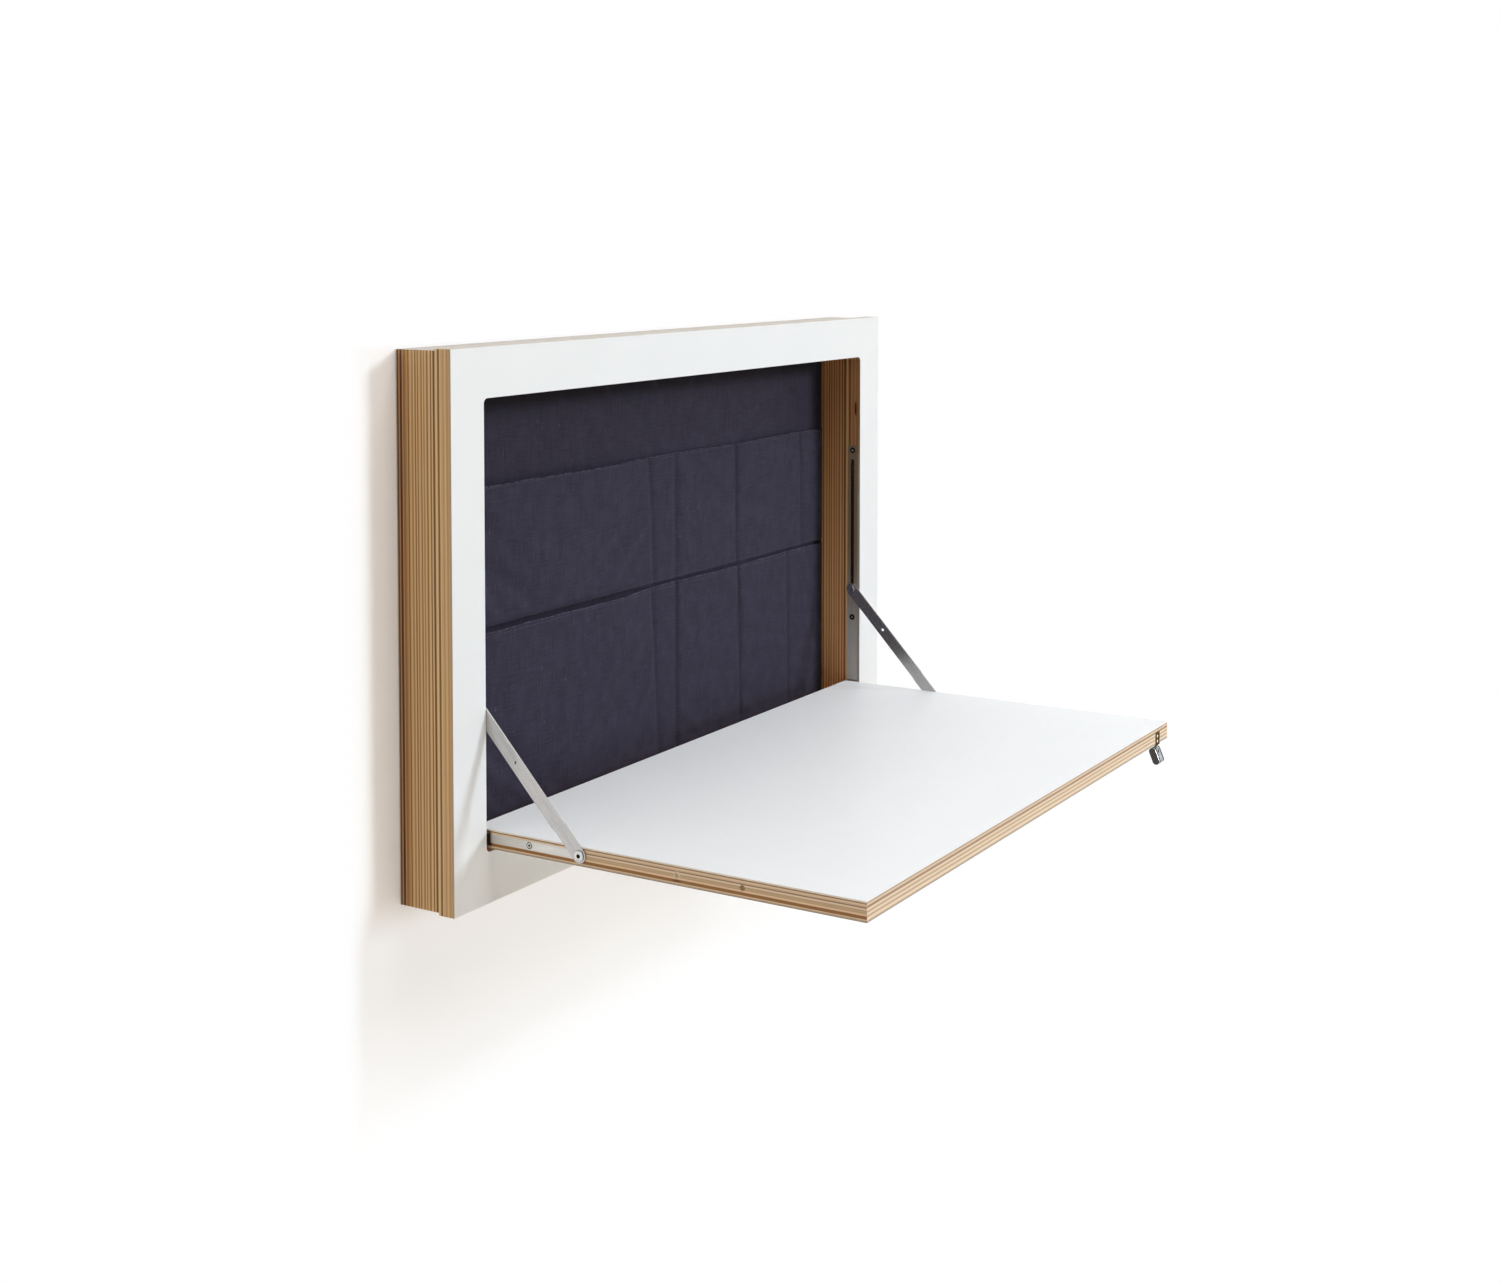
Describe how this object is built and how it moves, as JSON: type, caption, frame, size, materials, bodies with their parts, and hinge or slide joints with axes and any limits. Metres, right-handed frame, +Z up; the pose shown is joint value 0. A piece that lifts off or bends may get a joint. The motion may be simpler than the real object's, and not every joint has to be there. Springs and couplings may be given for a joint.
{
  "type": "fold down wall desk",
  "caption": "Shallow white-faced plywood wall frame whose front flap folds down to a writing top on sliding strap arms, with a cloth pocket organiser inside.",
  "frame": {"origin": "centre of the four wall bolts, on the back face, at mid width and mid height", "axes": "+X to the right as one faces the desk, +Y into the wall, +Z up; the flap is open"},
  "size_m": [0.96, 0.5396, 0.6],
  "materials": {
    "birch_ply": "oiled birch plywood, plies on edge",
    "white_laminate": "satin white high-pressure laminate",
    "beech_dowel": "beech dowel",
    "fibre_board": "hardboard",
    "indigo_cloth": "dark indigo woven cloth",
    "satin_steel": "satin stainless steel",
    "zinc_screw": "zinc-plated steel",
    "steel_ball": "polished steel",
    "brass": "plain brass",
    "nylon": "black nylon",
    "buffer_rubber": "tan rubber",
    "bronze_plate": "dark bronzed steel",
    "nickel_pull": "satin nickel"
  },
  "bodies": {
    "frame": {"front_panel_core": "birch_ply", "front_panel_face": "white_laminate", "front_panel_backer": "white_laminate", "box_stile_right": "birch_ply", "box_stile_left": "birch_ply", "box_rail_top": "birch_ply", "box_rail_bottom": "birch_ply", "back_panel": "birch_ply", "back_panel_screws": "zinc_screw", "wall_inserts": "brass", "box_dowels": "beech_dowel", "panel_dowels": "beech_dowel", "slot_rail_right": "satin_steel", "slot_rail_left": "satin_steel", "rail_screws": "zinc_screw", "hinge_bush_right": "nylon", "hinge_bush_left": "nylon", "organiser_board": "fibre_board", "organiser_screws": "zinc_screw", "organiser_cloth": "indigo_cloth", "upper_pockets": "indigo_cloth", "lower_pockets": "indigo_cloth"},
    "flap": {"flap_core": "birch_ply", "flap_writing_face": "white_laminate", "flap_outer_face": "white_laminate", "flap_strip_right": "satin_steel", "flap_strip_left": "satin_steel", "strip_screws": "zinc_screw", "hinge_pin_right": "satin_steel", "hinge_pin_left": "satin_steel", "catch_cases": "brass", "arm_buffers": "buffer_rubber", "pivot_screw_right": "satin_steel", "pivot_screw_left": "satin_steel", "pull_plate": "bronze_plate", "pull_plate_screws": "zinc_screw"},
    "arm_right": {"arm_right": "satin_steel", "arm_rivet_right": "satin_steel"},
    "arm_left": {"arm_left": "satin_steel", "arm_rivet_left": "satin_steel"},
    "slider_right": {"slider_pin_right": "satin_steel"},
    "slider_left": {"slider_pin_left": "satin_steel"},
    "catch_ball_right": {"catch_ball_right": "steel_ball"},
    "catch_ball_left": {"catch_ball_left": "steel_ball"},
    "pull": {"drop_pull": "nickel_pull", "pull_pin": "nickel_pull"}
  },
  "joints": [
    {"name": "flap_fold", "type": "hinge", "parent": "frame", "child": "flap", "pos_m": [0, -0.0635, -0.2295], "axis": [-1, 0, 0], "range_deg": [0, 90]},
    {"name": "arm_right_swing", "type": "hinge", "parent": "flap", "child": "arm_right", "pos_m": [0.4223, -0.1958, -0.2285], "axis": [1, 0, 0], "range_deg": [0, 133.42]},
    {"name": "slider_right_travel", "type": "slide", "parent": "frame", "child": "slider_right", "axis": [0, 0, 1], "range_m": [0, 0.1836]},
    {"name": "arm_left_swing", "type": "hinge", "parent": "flap", "child": "arm_left", "pos_m": [-0.4223, -0.1958, -0.2285], "axis": [1, 0, 0], "range_deg": [0, 133.42]},
    {"name": "slider_left_travel", "type": "slide", "parent": "frame", "child": "slider_left", "axis": [0, 0, 1], "range_m": [0, 0.1836]},
    {"name": "catch_right_press", "type": "slide", "parent": "flap", "child": "catch_ball_right", "axis": [-1, 0, 0], "range_m": [0, 0.001], "stiffness_N_per_m": 800},
    {"name": "catch_left_press", "type": "slide", "parent": "flap", "child": "catch_ball_left", "axis": [1, 0, 0], "range_m": [0, 0.001], "stiffness_N_per_m": 800},
    {"name": "pull_swing", "type": "hinge", "parent": "flap", "child": "pull", "pos_m": [0.385, -0.53, -0.249], "axis": [1, 0, 0], "range_deg": [-60, 110]}
  ],
  "couplings": [
    {"joint": "arm_right_swing", "follows": "flap_fold", "ratio": 1.4819},
    {"joint": "slider_right_travel", "follows": "flap_fold", "m_per_rad": 0.11683},
    {"joint": "arm_left_swing", "follows": "flap_fold", "ratio": 1.4819},
    {"joint": "slider_left_travel", "follows": "flap_fold", "m_per_rad": 0.11683}
  ]
}
